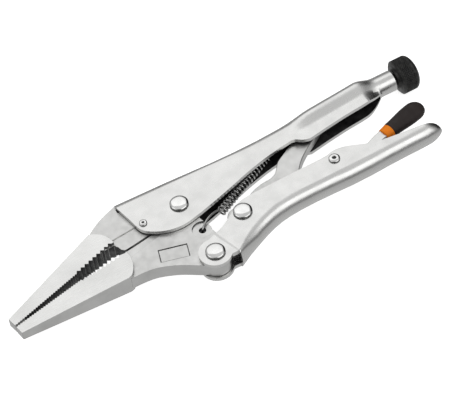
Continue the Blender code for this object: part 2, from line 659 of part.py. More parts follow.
dipped("lever_grip_band", [(0.0, 3.2, 2.6), (0.3, 3.35, 2.8), (BAND_LENGTH, 3.7, 3.0)], orange)
grip_front = BAND_LENGTH + FACE_GAP
rounding_start = grip_front + GRIP_LENGTH - GRIP_ROUNDING
grip_sections = [(grip_front, 3.75, 3.0), (grip_front + 4.0, 4.2, GRIP_HALF_THICK),
                 (grip_front + 8.5, 4.8, GRIP_HALF_THICK),
                 (rounding_start, GRIP_HALF_HEIGHT, GRIP_HALF_THICK)]
ROUNDING_STEPS = 6
for step in range(1, ROUNDING_STEPS + 1):
    angle = math.pi / 2 * step / ROUNDING_STEPS
    share = max(math.cos(angle), 0.12)
    grip_sections.append((rounding_start + GRIP_ROUNDING * math.sin(angle), GRIP_HALF_HEIGHT * share,
                          GRIP_HALF_THICK * share))
dipped("lever_grip", grip_sections, vinyl)


# ---------------------------------------------------------------- rivets, washers and spacers

def rivet(name, place, sizes, seat, axis, dimple=0.0):
    """A rivet with a domed head on both sides; a dimple is the radius of its hollow ends."""
    shank, head, rise = sizes
    low = seat + FACE_GAP
    dome = []
    steps = 4
    for step in range(steps + 1):
        angle = math.pi / 2 * (1 - step / steps)
        dome.append((head * math.cos(angle), low + HEAD_EDGE + (rise - HEAD_EDGE) * math.sin(angle)))
    if dimple:
        dome = [(0.0, low - dimple)] + [(dimple, low + rise)] + dome[2:]
    upper_side = dome + [(head, low), (shank, low)]
    profile = upper_side + [(radius, -height) for radius, height in reversed(upper_side)]
    x, y = axis["place"]
    return turned(name, profile, axis, polished, (place[0] - x, place[1] - y, 0.0))


def ring(name, place, inner, outer, low, high, axis, finish=nickel):
    """A flat ring; inner and outer are radii."""
    profile = [(inner, high), (outer, high), (outer, low), (inner, low), (inner, high)]
    x, y = axis["place"]
    return turned(name, profile, axis, finish, (place[0] - x, place[1] - y, 0.0))


rivet("main_rivet", MAIN_PIVOT, MAIN_RIVET, CHEEK_OUT, frame)
rivet("jaw_rivet", JAW_PIVOT, JAW_RIVET, CHEEK_OUT, handle_axis)
rivet("link_rivet", LINK_PIVOT, LINK_RIVET, CHEEK_OUT + JOGGLE, handle_axis)
rivet("lever_rivet", LEVER_PIVOT, LEVER_RIVET, CHEEK_OUT + JOGGLE, handle_axis, 0.9)
rivet("tack_rivet", TACK, TACK_RIVET, CHEEK_OUT, frame, 0.6)

for side, word in ((1, "near"), (-1, "far")):
    low, high = sorted((side * (LINK_HALF + FACE_GAP), side * (CHEEK_IN + JOGGLE - FACE_GAP)))
    ring("link_washer_" + word, LINK_PIVOT, LINK_RIVET[0] + RUN_GAP, WASHER_RADIUS, low, high, handle_axis)
    low, high = sorted((side * (LEVER_HALF + FACE_GAP), side * (CHEEK_IN + JOGGLE - FACE_GAP)))
    ring("lever_spacer_" + word, LEVER_PIVOT, LEVER_RIVET[0] + RUN_GAP, LEVER_EYE_RADIUS - 0.6, low, high,
         handle_axis)


# ---------------------------------------------------------------- adjusting screw and knob

TIP_START = NOSE_OF_LINK_X + LINK_NOSE_RADIUS + FACE_GAP - TUBE_END
ROD_START = TIP_START + TIP_LENGTH + FACE_GAP
KNOB_START = KNOB_STANDOFF
KNOB_BACK = KNOB_START + KNOB_LENGTH
ROD_END = KNOB_START + KNOB_BORE_DEPTH - FACE_GAP


def thread(start, end):
    """Ridges of the thread's pitch, from the rear end to the front one."""
    profile = []
    count = int((end - start) / THREAD_PITCH)
    for turn in range(count):
        crest = end - turn * THREAD_PITCH
        profile += [(SCREW_RADIUS, crest), (SCREW_RADIUS, crest - 0.35 * THREAD_PITCH),
                    (SCREW_RADIUS - THREAD_DEPTH, crest - 0.6 * THREAD_PITCH),
                    (SCREW_RADIUS - THREAD_DEPTH, crest - 0.8 * THREAD_PITCH)]
    return profile


tip = [(0.0, TIP_START + TIP_LENGTH), (TIP_RADIUS, TIP_START + TIP_LENGTH),
       (TIP_RADIUS, TIP_START + 0.5), (TIP_RADIUS - 0.5, TIP_START), (0.0, TIP_START)]
lay_along_x(turned("screw_tip", tip, screw_axis, blackened))
rod = [(0.0, ROD_END), (SCREW_RADIUS, ROD_END)] + thread(-1.5 * THREAD_PITCH, KNOB_START - 0.1)
rod += [(SCREW_RADIUS, rod[-1][1] - 0.25 * THREAD_PITCH), (SCREW_RADIUS, ROD_START + 0.6),
        (SCREW_RADIUS - 0.6, ROD_START), (0.0, ROD_START)]
lay_along_x(turned("adjusting_screw", rod, screw_axis, blackened))

knob_bore = SCREW_RADIUS + BORE_GAP
knob = [(0.0, KNOB_BACK), (KNOB_RADIUS * 0.5, KNOB_BACK - 0.2), (KNOB_RADIUS - 1.5, KNOB_BACK - 0.8),
        (KNOB_RADIUS - 0.4, KNOB_BACK - 1.6), (KNOB_RADIUS, KNOB_BACK - 2.4),
        (KNOB_RADIUS, KNOB_START + 1.9), (KNOB_RADIUS - 0.9, KNOB_START + 1.0),
        (knob_bore + 1.9, KNOB_START + 1.0), (knob_bore + 1.4, KNOB_START), (knob_bore, KNOB_START),
        (knob_bore, KNOB_START + KNOB_BORE_DEPTH), (0.0, KNOB_START + KNOB_BORE_DEPTH)]
lay_along_x(turned("adjusting_knob", knob, screw_axis, blackened, steps=36))


# ---------------------------------------------------------------- return spring

def spring_route():
    """The wire's centre line: hook through the jaw, coil, and hook through the anchor lug."""
    length = math.dist(COIL_START, COIL_END)
    boss_top = JAW_HALF - BOSS_DROP
    over = boss_top + WIRE_RADIUS + 0.35
    hole_x, hole_y = SPRING_HOLE
    route = [(hole_x, hole_y, -boss_top * 0.4), (hole_x, hole_y, boss_top * 0.7),
             (hole_x + 0.7, hole_y + 0.6, over), (hole_x + 4.6, hole_y + 3.6, over + 0.4),
             (COIL_START[0] - 3.6, COIL_START[1] - 1.0, over - 0.3)]
    steps_per_turn = 8
    steps = COIL_TURNS * steps_per_turn
    for step in range(steps + 1):
        angle = math.tau * step / steps_per_turn + math.pi / 2
        x, y = along(COIL_START, COIL_END, length * step / steps, COIL_RADIUS * math.cos(angle))
        route.append((x, y, COIL_RADIUS * math.sin(angle)))
    hook = ANCHOR_HALF + WIRE_RADIUS + 0.5
    route += [(COIL_END[0] + 1.8, COIL_END[1] + 0.9, hook + 0.3), (ANCHOR[0] - 1.2, ANCHOR[1] - 0.6, hook),
              (ANCHOR[0] - 0.1, ANCHOR[1], 0.6 * hook), (ANCHOR[0], ANCHOR[1], -hook)]
    return route


def wire(name, route, radius, axis, finish):
    """A round wire along a route of points."""
    curve = bpy.data.curves.new(name, "CURVE")
    curve.dimensions = "3D"
    curve.bevel_depth = radius * MM
    curve.bevel_resolution = 2
    curve.use_fill_caps = True
    curve.render_resolution_u = 0
    spline = curve.splines.new("POLY")
    spline.points.add(len(route) - 1)
    x0, y0 = axis["place"]
    for point, (x, y, z) in zip(spline.points, route):
        point.co = ((x - x0) * MM, (y - y0) * MM, z * MM, 1.0)
    piece = bpy.data.objects.new(name, curve)
    piece.parent = axis
    curve.materials.append(finish)
    parts.objects.link(piece)
    return piece


wire("return_spring", spring_route(), WIRE_RADIUS, frame, spring_steel)


# ---------------------------------------------------------------- stand on the floor, centred

def stand_on_floor():
    """Puts the bottom centre of the whole object's box at the world's origin."""
    bpy.context.view_layer.update()
    depsgraph = bpy.context.evaluated_depsgraph_get()
    corners = []
    for piece in parts.objects:
        if piece.type != "EMPTY":
            shape = piece.evaluated_get(depsgraph)
            mesh = shape.to_mesh()
            corners += [shape.matrix_world @ vertex.co for vertex in mesh.vertices]
            shape.to_mesh_clear()
    low = [min(corner[i] for corner in corners) for i in range(3)]
    high = [max(corner[i] for corner in corners) for i in range(3)]
    frame.location = (-(low[0] + high[0]) / 2, -(low[1] + high[1]) / 2, -low[2])


stand_on_floor()
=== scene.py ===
"""Looks for the long-nose locking pliers: finished pieces, materials, light and camera.

Lengths are in metres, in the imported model's frame.  MM turns the millimetre sizes named below into metres.
The tool lies on its side: +X runs to the adjusting knob, +Y to the upper handle, and +Z is along the rivets.
"""
import bpy
import bmesh
import json
import math
from mathutils import Matrix, Vector


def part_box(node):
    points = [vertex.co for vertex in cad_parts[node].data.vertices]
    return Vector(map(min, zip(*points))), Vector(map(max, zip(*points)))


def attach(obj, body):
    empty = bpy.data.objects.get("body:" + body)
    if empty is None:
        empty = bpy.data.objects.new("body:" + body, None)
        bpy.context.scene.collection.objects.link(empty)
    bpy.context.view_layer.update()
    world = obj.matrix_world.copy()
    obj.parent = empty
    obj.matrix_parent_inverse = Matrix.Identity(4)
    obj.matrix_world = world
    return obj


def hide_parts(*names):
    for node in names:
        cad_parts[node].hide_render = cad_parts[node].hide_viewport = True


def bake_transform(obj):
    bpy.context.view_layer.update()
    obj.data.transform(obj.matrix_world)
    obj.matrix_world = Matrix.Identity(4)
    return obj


MM = 0.001

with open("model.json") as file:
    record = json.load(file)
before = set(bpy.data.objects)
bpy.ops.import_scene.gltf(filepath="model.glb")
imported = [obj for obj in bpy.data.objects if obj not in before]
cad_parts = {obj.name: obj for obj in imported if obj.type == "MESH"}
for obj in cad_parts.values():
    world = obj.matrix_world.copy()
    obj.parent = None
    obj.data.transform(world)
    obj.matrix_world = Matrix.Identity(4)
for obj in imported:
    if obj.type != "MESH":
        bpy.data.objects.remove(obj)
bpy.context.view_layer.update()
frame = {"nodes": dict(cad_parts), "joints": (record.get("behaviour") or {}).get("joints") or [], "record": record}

JOINTS = {joint["name"]: joint for joint in frame["joints"]}
MAIN_PIVOT = Vector(JOINTS["jaw_pivot"]["pos_m"])
LEVER_PIVOT = Vector(JOINTS["lever_pivot"]["pos_m"])
SCREW_AXIS = Vector(JOINTS["screw_turn"]["pos_m"])
MIDDLE_Z = MAIN_PIVOT.z


# ---------------------------------------------------------------- materials

class Finish:
    """A Principled material in the making, with helpers for its procedural detail."""

    def __init__(self, name, color, roughness, metallic=0.0):
        self.material = bpy.data.materials.new(name)
        self.material.use_nodes = True
        self.tree = self.material.node_tree
        self.shader = self.tree.nodes["Principled BSDF"]
        self.shader.inputs["Base Color"].default_value = (*color, 1.0)
        self.shader.inputs["Roughness"].default_value = roughness
        self.shader.inputs["Metallic"].default_value = metallic
        self.place = self.tree.nodes.new("ShaderNodeTexCoord").outputs["Object"]
        self.height = None

    def noise(self, size, detail=3.0, stretch=(1.0, 1.0, 1.0), turn=0.0):
        """Noise with features of that size; stretch makes them longer along an axis."""
        mapping = self.tree.nodes.new("ShaderNodeMapping")
        mapping.inputs["Rotation"].default_value = (0.0, 0.0, turn)
        mapping.inputs["Scale"].default_value = tuple(1.0 / (size * share) for share in stretch)
        texture = self.tree.nodes.new("ShaderNodeTexNoise")
        texture.inputs["Scale"].default_value = 1.0
        texture.inputs["Detail"].default_value = detail
        self.tree.links.new(self.place, mapping.inputs["Vector"])
        self.tree.links.new(mapping.outputs["Vector"], texture.inputs["Vector"])
        return texture.outputs["Fac"]

    def tint(self, value, first, second):
        """The base colour runs between two colours over the middle of the value's range."""
        ramp = self.tree.nodes.new("ShaderNodeValToRGB")
        ramp.color_ramp.elements[0].position = 0.35
        ramp.color_ramp.elements[0].color = (*first, 1.0)
        ramp.color_ramp.elements[1].position = 0.65
        ramp.color_ramp.elements[1].color = (*second, 1.0)
        self.tree.links.new(value, ramp.inputs["Fac"])
        self.tree.links.new(ramp.outputs["Color"], self.shader.inputs["Base Color"])

    def gloss(self, value, low, high):
        """The roughness runs from low to high over the middle of the value's range."""
        node = self.tree.nodes.new("ShaderNodeMapRange")
        node.inputs["From Min"].default_value = 0.3
        node.inputs["From Max"].default_value = 0.7
        node.inputs["To Min"].default_value = low
        node.inputs["To Max"].default_value = high
        self.tree.links.new(value, node.inputs["Value"])
        self.tree.links.new(node.outputs["Result"], self.shader.inputs["Roughness"])

    def bump(self, value, depth):
        """Adds relief of that depth, on top of any before it."""
        node = self.tree.nodes.new("ShaderNodeBump")
        node.inputs["Distance"].default_value = depth
        self.tree.links.new(value, node.inputs["Height"])
        if self.height:
            self.tree.links.new(self.height, node.inputs["Normal"])
        self.height = node.outputs["Normal"]
        self.tree.links.new(self.height, self.shader.inputs["Normal"])


def satin_nickel():
    """Nickel over pressed steel: fine blasted grain, soft patches of gloss, faint handling marks."""
    finish = Finish("satin_nickel", (0.62, 0.62, 0.61), 0.3, 1.0)
    finish.tint(finish.noise(14 * MM), (0.64, 0.64, 0.63), (0.68, 0.68, 0.67))
    finish.gloss(finish.noise(5 * MM, 5.0), 0.22, 0.32)
    finish.bump(finish.noise(0.5 * MM, 3.0), 0.012 * MM)
    finish.bump(finish.noise(0.6 * MM, 2.0, (12.0, 1.0, 1.0), 0.4), 0.006 * MM)
    return finish.material


def painted_shade_inside_nickel():
    """The inside of a pressing, in painted shade: dark where shade falls in the channel."""
    finish = Finish("painted_shade_inside_nickel", (0.09, 0.09, 0.09), 0.5, 0.8)
    finish.tint(finish.noise(6 * MM, 4.0), (0.035, 0.035, 0.036), (0.10, 0.10, 0.10))
    finish.gloss(finish.noise(3 * MM), 0.42, 0.6)
    finish.bump(finish.noise(0.6 * MM), 0.01 * MM)
    return finish.material


def forged_steel():
    """The jaws behind the ground nose: blasted and plated, with a coarser grain."""
    finish = Finish("forged_steel", (0.58, 0.58, 0.57), 0.34, 1.0)
    finish.tint(finish.noise(9 * MM, 4.0), (0.56, 0.56, 0.55), (0.63, 0.63, 0.62))
    finish.gloss(finish.noise(3 * MM, 4.0), 0.3, 0.42)
    finish.bump(finish.noise(0.8 * MM, 3.0), 0.03 * MM)
    return finish.material


def ground_steel():
    """The nose's flat faces, with fine lines left along it by the grinding wheel."""
    finish = Finish("ground_steel", (0.66, 0.66, 0.65), 0.28, 1.0)
    finish.tint(finish.noise(16 * MM), (0.63, 0.63, 0.62), (0.70, 0.70, 0.69))
    lines = finish.noise(0.22 * MM, 3.0, (40.0, 1.0, 1.0), 0.16)
    finish.gloss(lines, 0.24, 0.32)
    finish.bump(lines, 0.0008 * MM)
    return finish.material


def polished_steel():
    """The rivets: bright, with hairline scratches."""
    finish = Finish("polished_steel", (0.72, 0.72, 0.71), 0.12, 1.0)
    finish.tint(finish.noise(4 * MM), (0.68, 0.68, 0.67), (0.76, 0.76, 0.75))
    finish.gloss(finish.noise(1.2 * MM, 6.0), 0.06, 0.13)
    finish.bump(finish.noise(0.25 * MM, 2.0, (8.0, 1.0, 1.0), 1.1), 0.0015 * MM)
    return finish.material


def painted_shade_edge_steel():
    """Rounded edges of plates and forgings, darkened with painted shade along them."""
    finish = Finish("painted_shade_edge_steel", (0.26, 0.26, 0.255), 0.34, 1.0)
    finish.tint(finish.noise(2.2 * MM, 5.0), (0.16, 0.16, 0.155), (0.42, 0.42, 0.41))
    finish.gloss(finish.noise(1.1 * MM, 4.0), 0.26, 0.42)
    finish.bump(finish.noise(0.3 * MM), 0.004 * MM)
    return finish.material


def painted_shade_steel():
    """Teeth, throat, holes and recesses in painted shade, dark where shade falls."""
    finish = Finish("painted_shade_steel", (0.06, 0.06, 0.06), 0.42, 0.7)
    finish.tint(finish.noise(2.5 * MM, 4.0), (0.03, 0.03, 0.03), (0.10, 0.10, 0.10))
    finish.gloss(finish.noise(1.5 * MM), 0.32, 0.5)
    finish.bump(finish.noise(0.3 * MM), 0.006 * MM)
    return finish.material


def spring_steel():
    """Bright drawn wire with fine draw marks."""
    finish = Finish("spring_steel", (0.4, 0.4, 0.39), 0.2, 1.0)
    finish.tint(finish.noise(3 * MM), (0.32, 0.32, 0.32), (0.48, 0.48, 0.47))
    finish.gloss(finish.noise(0.8 * MM), 0.14, 0.26)
    finish.bump(finish.noise(0.15 * MM), 0.002 * MM)
    return finish.material


def blackened_steel():
    """Black oxide with a dry, slightly grey bloom."""
    finish = Finish("blackened_steel", (0.03, 0.03, 0.03), 0.4, 0.6)
    finish.tint(finish.noise(1.6 * MM, 5.0), (0.016, 0.016, 0.016), (0.045, 0.045, 0.043))
    finish.gloss(finish.noise(1.0 * MM, 4.0), 0.28, 0.42)
    finish.bump(finish.noise(0.2 * MM), 0.006 * MM)
    return finish.material


def dipped_vinyl(name, deep, pale):
    """Matte dipped plastic: a faint pebble and slow drift in colour."""
    finish = Finish(name, deep, 0.55)
    finish.shader.inputs["Specular IOR Level"].default_value = 0.25
    finish.tint(finish.noise(7 * MM, 4.0), deep, pale)
    finish.gloss(finish.noise(2.5 * MM), 0.48, 0.62)
    finish.bump(finish.noise(0.45 * MM, 3.0), 0.012 * MM)
    finish.bump(finish.noise(4 * MM, 1.0), 0.03 * MM)
    return finish.material


NICKEL = satin_nickel()
SHADED_INSIDE = painted_shade_inside_nickel()
GROUND = ground_steel()
FORGED = forged_steel()
POLISHED = polished_steel()
PAINTED_SHADE = painted_shade_steel()
SHADED_EDGE = painted_shade_edge_steel()
SPRING = spring_steel()
BLACK = blackened_steel()
VINYL = dipped_vinyl("dark_vinyl", (0.024, 0.018, 0.017), (0.032, 0.025, 0.023))
ORANGE = dipped_vinyl("orange_vinyl", (1.0, 0.24, 0.005), (1.0, 0.28, 0.008))


# ---------------------------------------------------------------- building pieces

def piece(name, mesh, node, materials):
    """A new object that stands for one CAD node and rides on its body."""
    made = bpy.data.objects.new(name, mesh)
    bpy.context.scene.collection.objects.link(made)
    for finish in materials:
        mesh.materials.append(finish)
    for body, members in frame["record"]["behaviour"]["bodies"].items():
        if node in members:
            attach(made, body)
    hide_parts(node)
    return made


SHARP_ANGLE = math.radians(32.0)
FLAT_ANGLE = math.radians(0.6)
MERGE_DISTANCE = 0.03 * MM
SHADE_BORDER_WIDTH = 0.4 * MM


def soften(made, width):
    """Small rounded edges in the piece's last material, which paints shade along them, and smooth shading between
    them.
    """
    bevel = made.modifiers.new("edge_rounding", "BEVEL")
    bevel.width = width
    bevel.segments = 2
    bevel.limit_method = "ANGLE"
    bevel.angle_limit = SHARP_ANGLE
    bevel.use_clamp_overlap = True
    bevel.material = len(made.data.materials) - 1
    bevel.miter_outer = "MITER_ARC"
    made.data.shade_smooth()
    normals = made.modifiers.new("even_shading", "WEIGHTED_NORMAL")
    normals.keep_sharp = True
    normals.weight = 60


def finished_copy(node, name, materials, width, pick=None, shade_rim=None):
    """The CAD shape with its flat faces joined up and its edges rounded.

    pick gives a face its material, and the last argument names the faces that are ringed with painted shade.
    """
    mesh = frame["nodes"][node].data.copy()
    mesh.materials.clear()
    edit = bmesh.new()
    edit.from_mesh(mesh)
    bmesh.ops.remove_doubles(edit, verts=edit.verts, dist=MERGE_DISTANCE)
    bmesh.ops.dissolve_degenerate(edit, dist=MERGE_DISTANCE, edges=edit.edges)
    bmesh.ops.dissolve_limit(edit, angle_limit=FLAT_ANGLE, verts=edit.verts, edges=edit.edges)
    for face in edit.faces:
        face.material_index = pick(face) if pick else 0
    if shade_rim:
        inner = [face for face in edit.faces if shade_rim(face)]
        shade_border = bmesh.ops.inset_individual(edit, faces=inner, thickness=SHADE_BORDER_WIDTH, use_even_offset=True)
        for face in shade_border["faces"]:
            face.material_index = 1
    edit.to_mesh(mesh)
    edit.free()
    soften(piece(name, mesh, node, materials), width)


def turned(profile, steps, centre, axis="Z"):
    """A mesh turned from (radius, height) points, which run from one end to the other."""
    edit = bmesh.new()
    rows = []
    for radius, height in profile:
        if radius < 1e-7:
            rows.append([edit.verts.new((0.0, 0.0, height))])
        else:
            rows.append([edit.verts.new((radius * math.cos(math.tau * step / steps),
                                         radius * math.sin(math.tau * step / steps), height))
                         for step in range(steps)])
    for row, following in zip(rows, rows[1:]):
        for step in range(steps):
            after = (step + 1) % steps
            corners = [row[step % len(row)], row[after % len(row)],
                       following[after % len(following)], following[step % len(following)]]
            edit.faces.new(list(dict.fromkeys(corners)))
    bmesh.ops.recalc_face_normals(edit, faces=edit.faces)
    mesh = bpy.data.meshes.new("turned")
    edit.to_mesh(mesh)
    edit.free()
    if axis == "X":
        mesh.transform(Matrix.Rotation(math.pi / 2, 4, "Y"))
    mesh.transform(Matrix.Translation(centre))
    mesh.shade_smooth()
    return mesh


def arc_points(centre, radius, start, end, steps):
    """(radius, height) points on an arc, with the angles in degrees."""
    points = []
    for step in range(steps + 1):
        angle = math.radians(start + (end - start) * step / steps)
        points.append((centre[0] + radius * math.cos(angle), centre[1] + radius * math.sin(angle)))
    return points


# ---------------------------------------------------------------- pressings, jaws, link and lever

EAR_END = 17.0 * MM
TUBE_NECK = 19.0 * MM
INWARD = 0.2 * MM


def inside_of(core):
    """Sorts a channel's faces: 0 outside, 1 inside, which takes painted shade.  core gives the height of the
    channel's middle.
    """
    def pick(face):
        centre = face.calc_center_median()
        if centre.x < MAIN_PIVOT.x + EAR_END and centre.y < MAIN_PIVOT.y:
            return 0
        away = Vector((0.0, centre.y - core(centre), centre.z - MIDDLE_Z))
        return 1 if away.dot(face.normal) < -INWARD else 0
    return pick


def upper_core(centre):
    """The middle of the upper handle: under the spine, and on the screw's axis in the tube."""
    return min(centre.y, SCREW_AXIS.y) if centre.x < SCREW_AXIS.x - TUBE_NECK else SCREW_AXIS.y


def lower_core(centre):
    """The lower handle's cheeks are told apart by their Z alone."""
    return centre.y


TIP_DISTANCE = 86.0 * MM
THROAT_DISTANCE = 30.0 * MM
NOSE_START = 33.0 * MM
NOSE_HALF = 3.6 * MM
PANEL_CENTRE = Vector((-14.6, -21.7)) * MM
PANEL_REACH = 7.6 * MM
SPRING_HOLE = Vector((2.3, -17.0)) * MM
HOLE_REACH = 2.0 * MM
BOSS_REACH = 5.4 * MM
RECESS_FLOOR = 2.5 * MM


def jaw_face(side):
    """Sorts a jaw's faces: 0 ground nose, 1 painted shade on teeth, throat, holes and recess walls, 2 forged body.

    side is the way its teeth point along Y.
    """
    def pick(face):
        centre = face.calc_center_median() - MAIN_PIVOT
        if abs(face.normal.z) < 0.5:
            in_nose = -TIP_DISTANCE < centre.x < -THROAT_DISTANCE
            if in_nose and face.normal.y * side > -0.35:
                return 1
            from_panel = (centre.xy - PANEL_CENTRE).length
            from_hole = (centre.xy - SPRING_HOLE).length
            # The spring hole's walls and the recess walls take painted shade.
            if from_hole < HOLE_REACH:
                return 1
            recess = from_panel < PANEL_REACH or from_hole < BOSS_REACH
            return 1 if recess and abs(centre.z) > RECESS_FLOOR else 2
        return 0 if centre.x < -NOSE_START or abs(centre.z) > NOSE_HALF else 2
    return pick


def panel_floor(face):
    """Tells the floor of the stamped panel, which is ringed with painted shade along its walls."""
    aside = (face.calc_center_median() - MAIN_PIVOT).xy - PANEL_CENTRE
    return face.normal.z > 0.9 and aside.length < 1.5 * MM and len(face.verts) < 8


def steel_parts():
    finished_copy("upper_handle", "upper_handle_pressing", [NICKEL, SHADED_INSIDE, SHADED_EDGE], 0.24 * MM,
                  inside_of(upper_core))
    finished_copy("lower_handle", "lower_handle_pressing", [NICKEL, SHADED_INSIDE, SHADED_EDGE], 0.24 * MM,
                  inside_of(lower_core))
    finished_copy("fixed_jaw", "fixed_jaw_forging", [GROUND, PAINTED_SHADE, FORGED, SHADED_EDGE],
                  0.12 * MM, jaw_face(-1))
    finished_copy("moving_jaw", "moving_jaw_forging", [GROUND, PAINTED_SHADE, FORGED, SHADED_EDGE],
                  0.12 * MM, jaw_face(1), panel_floor)
    finished_copy("toggle_link", "toggle_link_blank", [FORGED, SHADED_EDGE], 0.3 * MM)
    finished_copy("release_lever", "release_lever_blank", [NICKEL, SHADED_EDGE], 0.25 * MM)


# ---------------------------------------------------------------- rivets

def rivet(node, rise, dimple=0.0):
    """A rivet with a dome of that rise on each end, a painted shadow line at its foot, and a dimple in painted
    shade if it has one.
    """
    low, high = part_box(node)
    head = (high.x - low.x) / 2
    centre = (low + high) / 2
    half = (high.z - low.z) / 2
    seat = half - rise
    edge = 0.28 * rise
    shank = 0.6 * head
    crown = rise - edge
    steps = 18
    dome = []
    for step in range(steps + 1):
        angle = math.pi / 2 * (1 - step / steps)
        dome.append((head * math.cos(angle) ** 0.6 if step < steps else head,
                     seat + edge + crown * math.sin(angle)))
    if dimple:
        cup = arc_points((0.0, half), dimple, -90, -8, 8)
        dome = cup + [point for point in dome if point[0] > dimple * 1.25]
    side = dome + [(head, seat + 0.1 * rise), (head - 0.1 * rise, seat), (shank, seat)]
    mirrored = [(radius, -height) for radius, height in reversed(side)]
    mesh = turned(side + mirrored, 64, centre)
    # Faces at the foot of the head and inside the dimple take painted shade.
    for face in mesh.polygons:
        across = face.center - centre
        foot = across.xy.length > 0.95 * head and abs(across.z) < seat + 0.35 * rise
        hollow = across.xy.length < 0.95 * dimple and abs(across.z) < half - 0.2 * dimple
        face.material_index = 1 if foot or hollow else 0
    piece(node + "_turned", mesh, node, [POLISHED, PAINTED_SHADE])


def rivets():
    """Three large plain rivets and two small hollow ones."""
    for node in ("main_rivet", "jaw_rivet", "link_rivet"):
        rivet(node, 1.35 * MM)
    rivet("lever_rivet", 0.8 * MM, 0.9 * MM)
    rivet("tack_rivet", 0.6 * MM, 0.6 * MM)


# ---------------------------------------------------------------- adjusting screw and knob

THREAD_PITCH = 1.25 * MM
THREAD_DEPTH = 0.62 * MM
THREAD_RUN = 3.5 * THREAD_PITCH
CHAMFER = 0.6 * MM


def thread_radius(crest, along, turn):
    """A helical V thread: the radius at a distance along the rod and a share of a turn."""
    phase = (along / THREAD_PITCH - turn) % 1.0
    return crest - THREAD_DEPTH * min(1.0, max(0.0, 2.6 * abs(phase - 0.5) - 0.15) / 0.95)


def threaded_rod():
    """The screw, with a real helix where it comes out of the tube."""
    low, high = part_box("adjusting_screw")
    crest = (high.z - low.z) / 2
    start, end = low.x, high.x
    thread_from = SCREW_AXIS.x - THREAD_RUN
    steps = 56
    stations = [start, start + CHAMFER, thread_from - 0.01 * MM]
    count = int((end - thread_from) / (THREAD_PITCH / 12))
    stations += [thread_from + (end - thread_from) * index / count for index in range(count + 1)]
    edit = bmesh.new()
    rows = []
    for x in stations:
        row = []
        for step in range(steps):
            radius = crest - (CHAMFER if x == start else 0.0)
            if x > thread_from:
                radius = thread_radius(crest, x - thread_from, step / steps)
            angle = math.tau * step / steps
            row.append(edit.verts.new((x, SCREW_AXIS.y + radius * math.cos(angle),
                                       SCREW_AXIS.z + radius * math.sin(angle))))
        rows.append(row)
    for row, following in zip(rows, rows[1:]):
        for step in range(steps):
            after = (step + 1) % steps
            edit.faces.new((row[step], row[after], following[after], following[step]))
    edit.faces.new(rows[0])
    edit.faces.new(rows[-1])
    bmesh.ops.recalc_face_normals(edit, faces=edit.faces)
    mesh = bpy.data.meshes.new("threaded_rod")
    edit.to_mesh(mesh)
    edit.free()
    mesh.shade_smooth()
    piece("threaded_rod", mesh, "adjusting_screw", [BLACK])


KNURL_RIDGES = 38
KNURL_DEPTH = 0.5 * MM
KNOB_BORE = (3.25 * MM, 8.4 * MM)
HUB_RADIUS = 5.0 * MM


def knurled_knob():
    """The knob: a hub ring, a dished front, a knurled barrel and a domed back."""
    low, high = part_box("adjusting_knob")
    radius = (high.z - low.z) / 2
    start, end = low.x, high.x
    bore, bore_depth = KNOB_BORE
    knurl_from, knurl_to = start + 2.0 * MM, end - 3.6 * MM
    profile = [(0.0, start + bore_depth), (bore, start + bore_depth), (bore, start + 0.15 * MM),
               (bore + 0.2 * MM, start), (HUB_RADIUS - 0.4 * MM, start), (HUB_RADIUS, start + 0.3 * MM),
               (HUB_RADIUS + 0.1 * MM, start + 1.1 * MM), (radius - 1.7 * MM, start + 1.15 * MM),
               (radius - 1.0 * MM, start + 1.35 * MM), (radius - 0.5 * MM, start + 1.7 * MM)]
    rows = 54
    slope = (knurl_to - knurl_from) / rows
    profile += [(radius - 0.02 * MM, knurl_from + slope * row) for row in range(rows + 1)]
    profile += [(radius * math.cos(angle), knurl_to + (end - knurl_to) * math.sin(angle))
                for angle in (math.pi / 2 * step / 14 for step in range(1, 14))] + [(0.0, end)]
    mesh = turned(profile, KNURL_RIDGES * 8, (0.0, 0.0, 0.0), "X")
    lead = math.tau * radius / KNURL_RIDGES
    for vertex in mesh.vertices:
        x, y, z = vertex.co
        distance = math.hypot(y, z)
        if distance > radius - 0.1 * MM:
            turn = math.atan2(z, y) / math.tau * KNURL_RIDGES
            run = (x - knurl_from) / lead
            first = abs((turn + run) % 1.0 - 0.5) * 2
            second = abs((turn - run) % 1.0 - 0.5) * 2
            groove = max(first, second)
            depth = KNURL_DEPTH * max(0.0, (groove - 0.35) / 0.65)
            fade = min(1.0, max(0.0, min(x - knurl_from, knurl_to - x) / (0.5 * MM)))
            vertex.co.y -= y / distance * depth * fade
            vertex.co.z -= z / distance * depth * fade
    mesh.transform(Matrix.Translation((0.0, SCREW_AXIS.y, SCREW_AXIS.z)))
    piece("knurled_knob", mesh, "adjusting_knob", [BLACK])


# ---------------------------------------------------------------- dipped grip

BAND_BEARING = math.atan2(7.0, 52.0)
BAND_DISTANCE = 28.2 * MM
GRIP_BEARING = math.radians(14.0)
BAND_LENGTH = 3.8 * MM
GRIP_LENGTH = 21.1 * MM
DIP_GAP = 0.3 * MM
band_front = LEVER_PIVOT + BAND_DISTANCE * Vector((math.cos(BAND_BEARING), math.sin(BAND_BEARING), 0.0))


